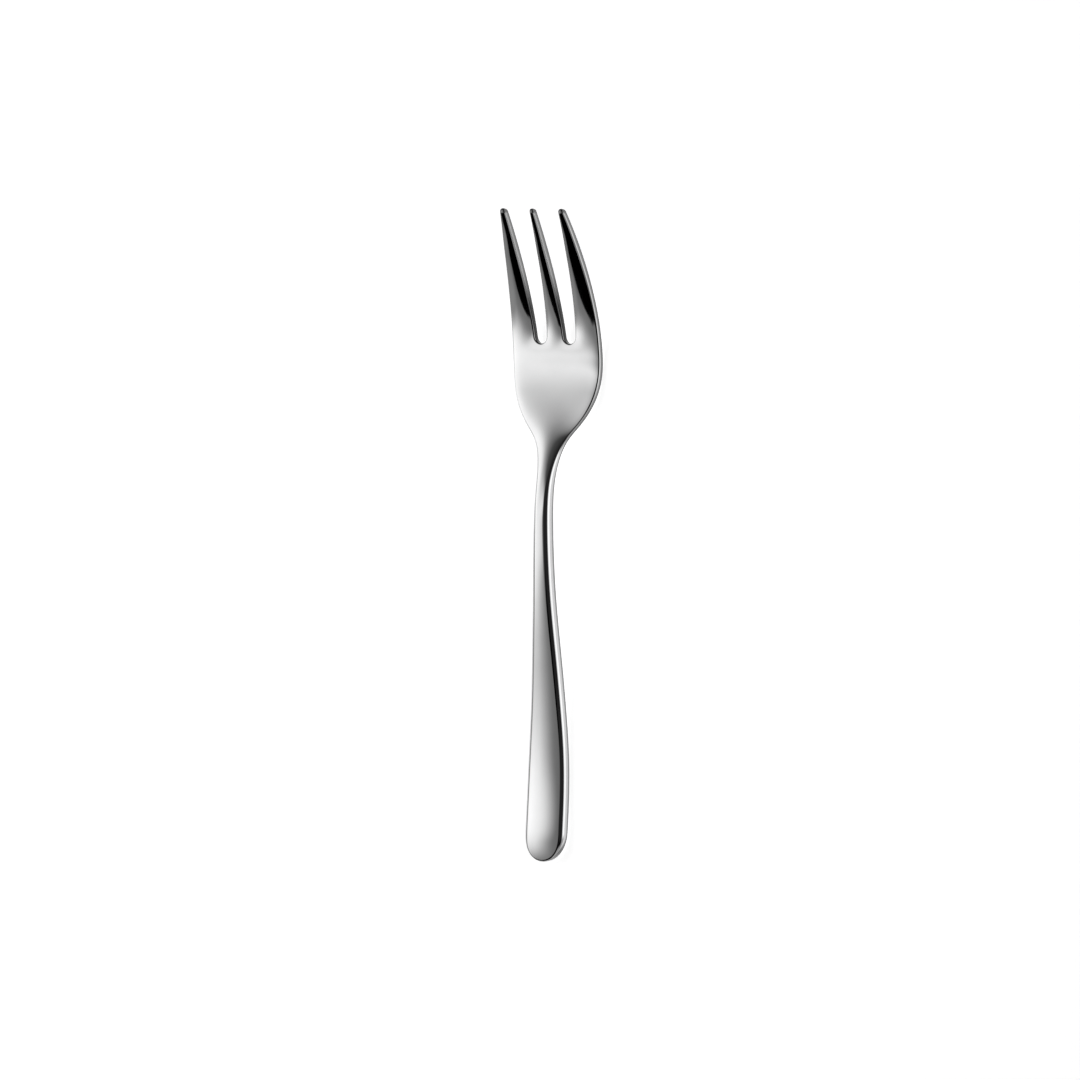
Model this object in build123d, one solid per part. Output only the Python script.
from build123d import *

import os
from math import acos, atan2, cos, degrees, hypot, pi, radians, sin

# Pastry fork with three tines, pressed from one piece of polished stainless steel. Millimetres.
# +Y runs from the handle's end to the tine tips, +Z is up and +X is to the right.
# The fork lies on the plane Z = 0, on the underside of its handle and of its head, with the hollow of
# its tines upwards. The origin is on that plane, under the middle of the fork's length and width.
# The bends and the thickness of the steel are one loft, which the stamped outline cuts. The edges are
# then rounded, and planes across the fork part it into its named regions, which meet face to face.

# Lengths along the fork, from the handle's end to the tine tips
HANDLE_LENGTH = 83.0
NECK_LENGTH = 14.0
HEAD_LENGTH = 22.2
TINE_LENGTH = 30.8

# Widths across the fork, and the length of the handle's end, which is half of an ellipse
HANDLE_WIDTH = 11.1
NECK_WIDTH = 4.65
HEAD_WIDTH = 23.8
END_ROUND_LENGTH = 6.8

# Thickness of the steel on the fork's centre line
END_THICKNESS = 2.15
HANDLE_THICKNESS = 2.9
NECK_THICKNESS = 2.75
HEAD_THICKNESS = 1.9
TINE_THICKNESS = 2.25
TIP_THICKNESS = 1.85
# Length over which the handle thins to its end
END_THIN_LENGTH = 14.0

# Height of the underside above the table at the handle's end, under the arch and at the tine tips
END_LIFT = 0.9
ARCH_LIFT = 4.75
TIP_LIFT = 12.65
# Power of the curve that the tines follow upwards
TIP_POWER = 1.65

# Radius of the front across the handle, which is crowned, and across the head, which is nearly flat
HANDLE_CROWN_RADIUS = 25.0
HEAD_CROWN_RADIUS = 400.0

# Round ends of the slots between the tines
SLOT_OFFSET = 3.92
SLOT_ROOT_RADIUS = 1.6

# Tine tips, and the angle by which the fork's outer edge leans inwards there
OUTER_TIP_OFFSET = 7.95
OUTER_TIP_RADIUS = 0.75
CENTRE_TIP_RADIUS = 0.6
OUTER_EDGE_ANGLE = 11.0

# Rounding of the polished edges
FRONT_EDGE_RADIUS = 0.35
BACK_EDGE_RADIUS = 0.25

# Number of cross-sections in the loft
SECTION_COUNT = 32

# Places along the fork where one region ends and the next begins
OVERALL_LENGTH = HANDLE_LENGTH + NECK_LENGTH + HEAD_LENGTH + TINE_LENGTH
END_Y = -OVERALL_LENGTH / 2
NECK_Y = END_Y + HANDLE_LENGTH
SHOULDER_Y = NECK_Y + NECK_LENGTH
SLOT_Y = SHOULDER_Y + HEAD_LENGTH
TIP_Y = SLOT_Y + TINE_LENGTH

# Places along the fork where the underside is lowest or highest
HANDLE_REST_Y = END_Y + 0.235 * HANDLE_LENGTH
ARCH_Y = END_Y + 0.985 * HANDLE_LENGTH
HEAD_REST_Y = SHOULDER_Y + 0.72 * HEAD_LENGTH
# Places between which the steel thins from the neck to the head
THIN_START_Y = NECK_Y - NECK_LENGTH / 2
THIN_END_Y = SHOULDER_Y + HEAD_LENGTH / 5
# Place where the tines are thickest
THICK_Y = SLOT_Y + 0.65 * TINE_LENGTH

# Edge of the handle: share of its length, and share of the step from the neck's width to its own
HANDLE_EDGE = [(0.30, 0.90), (0.43, 0.69), (0.57, 0.455), (0.72, 0.21), (0.86, 0.075), (1.0, 0.0)]
# Edge of the head: share of its length, and share of the step from the neck's width to its own
HEAD_EDGE = [(-0.23, 0.045), (-0.01, 0.21), (0.13, 0.455), (0.27, 0.685), (0.49, 0.905), (0.92, 1.0)]
# Outer edge of the tines: share of their length, and share of the head's width
TINE_EDGE = (0.42, 0.935)


def ease(y, start, stop, before, after):
    """A value that goes smoothly from one level to another between two places along the fork."""
    share = min(max((y - start) / (stop - start), 0), 1)
    return before + (after - before) * (1 - cos(pi * share)) / 2


def back_height(y):
    """Height of the underside, which touches the table under the handle and under the head."""
    if y < HANDLE_REST_Y:
        return END_LIFT * ((HANDLE_REST_Y - y) / (HANDLE_REST_Y - END_Y)) ** 2
    if y < ARCH_Y:
        return ease(y, HANDLE_REST_Y, ARCH_Y, 0, ARCH_LIFT)
    if y < HEAD_REST_Y:
        return ease(y, ARCH_Y, HEAD_REST_Y, ARCH_LIFT, 0)
    return TIP_LIFT * ((y - HEAD_REST_Y) / (TIP_Y - HEAD_REST_Y)) ** TIP_POWER


def thickness(y):
    """Thickness of the steel on the centre line."""
    neck = ease(y, HANDLE_REST_Y, ARCH_Y, HANDLE_THICKNESS, NECK_THICKNESS)
    head = ease(y, THIN_START_Y, THIN_END_Y, 0, HEAD_THICKNESS - NECK_THICKNESS)
    tine = ease(y, SLOT_Y, THICK_Y, 0, TINE_THICKNESS - HEAD_THICKNESS)
    tip = ease(y, THICK_Y, TIP_Y, 0, TIP_THICKNESS - TINE_THICKNESS)
    near_end = min(max(1 - (y - END_Y) / END_THIN_LENGTH, 0), 1)
    return neck + head + tine + tip + (END_THICKNESS - HANDLE_THICKNESS) * near_end**4


def blank_section(y):
    """One cross-section of the steel, wider than the fork, with a flat back and a crowned front."""
    half_fork = ease(y, ARCH_Y, SHOULDER_Y, HANDLE_WIDTH / 2, HEAD_WIDTH / 2)
    half = half_fork + HANDLE_THICKNESS
    crown = ease(y, ARCH_Y, SHOULDER_Y, 1 / HANDLE_CROWN_RADIUS, 1 / HEAD_CROWN_RADIUS)
    back = back_height(y)
    front = back + thickness(y)
    side = front - half**2 * crown / 2
    outline = [
        ThreePointArc((-half, side), (0, front), (half, side)),
        Polyline((half, side), (half, back), (-half, back), (-half, side)),
    ]
    return Plane(origin=(0, y, 0), x_dir=(1, 0, 0), z_dir=(0, -1, 0)) * make_face(outline)


def make_blank():
    """The bent steel before stamping, which runs past both ends of the fork."""
    first, last = END_Y - HANDLE_THICKNESS, TIP_Y + HANDLE_THICKNESS
    step = (last - first) / (SECTION_COUNT - 1)
    return loft([blank_section(first + step * i) for i in range(SECTION_COUNT)])


def along(lean):
    """Direction along an edge that leans from +Y towards +X by an angle in degrees."""
    return Vector(sin(radians(lean)), cos(radians(lean)))


def across(lean):
    """Direction square to that edge, to its right."""
    return Vector(cos(radians(lean)), -sin(radians(lean)))


def wall_lean(left, left_radius, right, right_radius):
    """Lean of the straight edge that passes between two circles and touches both."""
    apart = right - left
    reach = hypot(apart.X, apart.Y)
    return degrees(acos((left_radius + right_radius) / reach) - atan2(abs(apart.Y), apart.X))


def outer_edge():
    """Points along the fork's right edge, from the handle's round end to the tip of the right tine."""
    half_handle, half_neck, half_head = HANDLE_WIDTH / 2, NECK_WIDTH / 2, HEAD_WIDTH / 2
    points = [Vector(half_handle, END_Y + END_ROUND_LENGTH)]
    for place, share in HANDLE_EDGE:
        half = half_neck + share * (half_handle - half_neck)
        points.append(Vector(half, END_Y + place * HANDLE_LENGTH))
    for place, share in HEAD_EDGE:
        half = half_neck + share * (half_head - half_neck)
        points.append(Vector(half, SHOULDER_Y + place * HEAD_LENGTH))
    place, share = TINE_EDGE
    points.append(Vector(share * half_head, SLOT_Y + place * TINE_LENGTH))
    tip = Vector(OUTER_TIP_OFFSET, TIP_Y - OUTER_TIP_RADIUS)
    points.append(tip + OUTER_TIP_RADIUS * across(-OUTER_EDGE_ANGLE))
    return points


def half_outline():
    """The stamped outline on the right of the centre line, from the handle's end to the middle tip."""
    edge = outer_edge()
    end = Vector(0, END_Y + END_ROUND_LENGTH)
    tip = Vector(OUTER_TIP_OFFSET, TIP_Y - OUTER_TIP_RADIUS)
    centre = Vector(0, TIP_Y - CENTRE_TIP_RADIUS)
    slot = Vector(SLOT_OFFSET, SLOT_Y + SLOT_ROOT_RADIUS)
    inner_lean = wall_lean(slot, SLOT_ROOT_RADIUS, tip, OUTER_TIP_RADIUS)
    centre_lean = -wall_lean(centre, CENTRE_TIP_RADIUS, slot, SLOT_ROOT_RADIUS)

    inner_end = tip - OUTER_TIP_RADIUS * across(inner_lean)
    inner_root = slot + SLOT_ROOT_RADIUS * across(inner_lean)
    centre_root = slot - SLOT_ROOT_RADIUS * across(centre_lean)
    centre_end = centre + CENTRE_TIP_RADIUS * across(centre_lean)
    return [
        EllipticalCenterArc(end, HANDLE_WIDTH / 2, END_ROUND_LENGTH, start_angle=270, arc_size=90),
        Spline(*edge, tangents=[along(0), along(-OUTER_EDGE_ANGLE)]),
        ThreePointArc(edge[-1], tip + OUTER_TIP_RADIUS * along(0), inner_end),
        Line(inner_end, inner_root),
        ThreePointArc(inner_root, slot - SLOT_ROOT_RADIUS * along(0), centre_root),
        Line(centre_root, centre_end),
        ThreePointArc(
            centre_end, centre + CENTRE_TIP_RADIUS * across(-45), centre + CENTRE_TIP_RADIUS * along(0)
        ),
    ]


def largest_face(solid, side):
    """The largest face of a solid that looks up, for side 1, or down, for side -1."""
    facing = [face for face in solid.faces() if side * face.normal_at(face.center()).Z > 0.5]
    return max(facing, key=lambda face: face.area)


def make_fork():
    """The whole fork with its edges rounded, before it is parted into regions."""
    right = half_outline()
    outline = make_face(right + [mirror(edge, Plane.YZ) for edge in right])
    fork = make_blank() & Pos(0, 0, -HANDLE_THICKNESS) * extrude(outline, amount=OVERALL_LENGTH)
    wall = min(thickness(y) for y in (END_Y, HANDLE_REST_Y, ARCH_Y, HEAD_REST_Y, THICK_Y, TIP_Y))
    limit = min(0.4 * wall, 0.7 * OUTER_TIP_RADIUS, 0.7 * CENTRE_TIP_RADIUS)
    fork = fillet(largest_face(fork, 1).edges(), min(FRONT_EDGE_RADIUS, limit))
    return fillet(largest_face(fork, -1).edges(), min(BACK_EDGE_RADIUS, limit))


def regions(fork):
    """The fork parted by planes across it, by name. The slots part the three tines from one another."""
    neck_cut, head_cut = Plane.XZ.offset(-NECK_Y), Plane.XZ.offset(-SHOULDER_Y)
    tine_cut = Plane.XZ.offset(-SLOT_Y - 0.3 * SLOT_ROOT_RADIUS)
    handle, rest = split(fork, neck_cut, Keep.TOP), split(fork, neck_cut, Keep.BOTTOM)
    neck, rest = split(rest, head_cut, Keep.TOP), split(rest, head_cut, Keep.BOTTOM)
    head, tines = split(rest, tine_cut, Keep.TOP), split(rest, tine_cut, Keep.BOTTOM)
    left, centre, right = tines.solids().sort_by(Axis.X)
    return {
        "handle": handle,
        "neck": neck,
        "head": head,
        "tine_left": left,
        "tine_centre": centre,
        "tine_right": right,
    }


def main():
    """Write each region of the fork as a STEP file."""
    os.makedirs("parts", exist_ok=True)
    for name, region in regions(make_fork()).items():
        export_step(region, f"parts/{name}.step")


main()
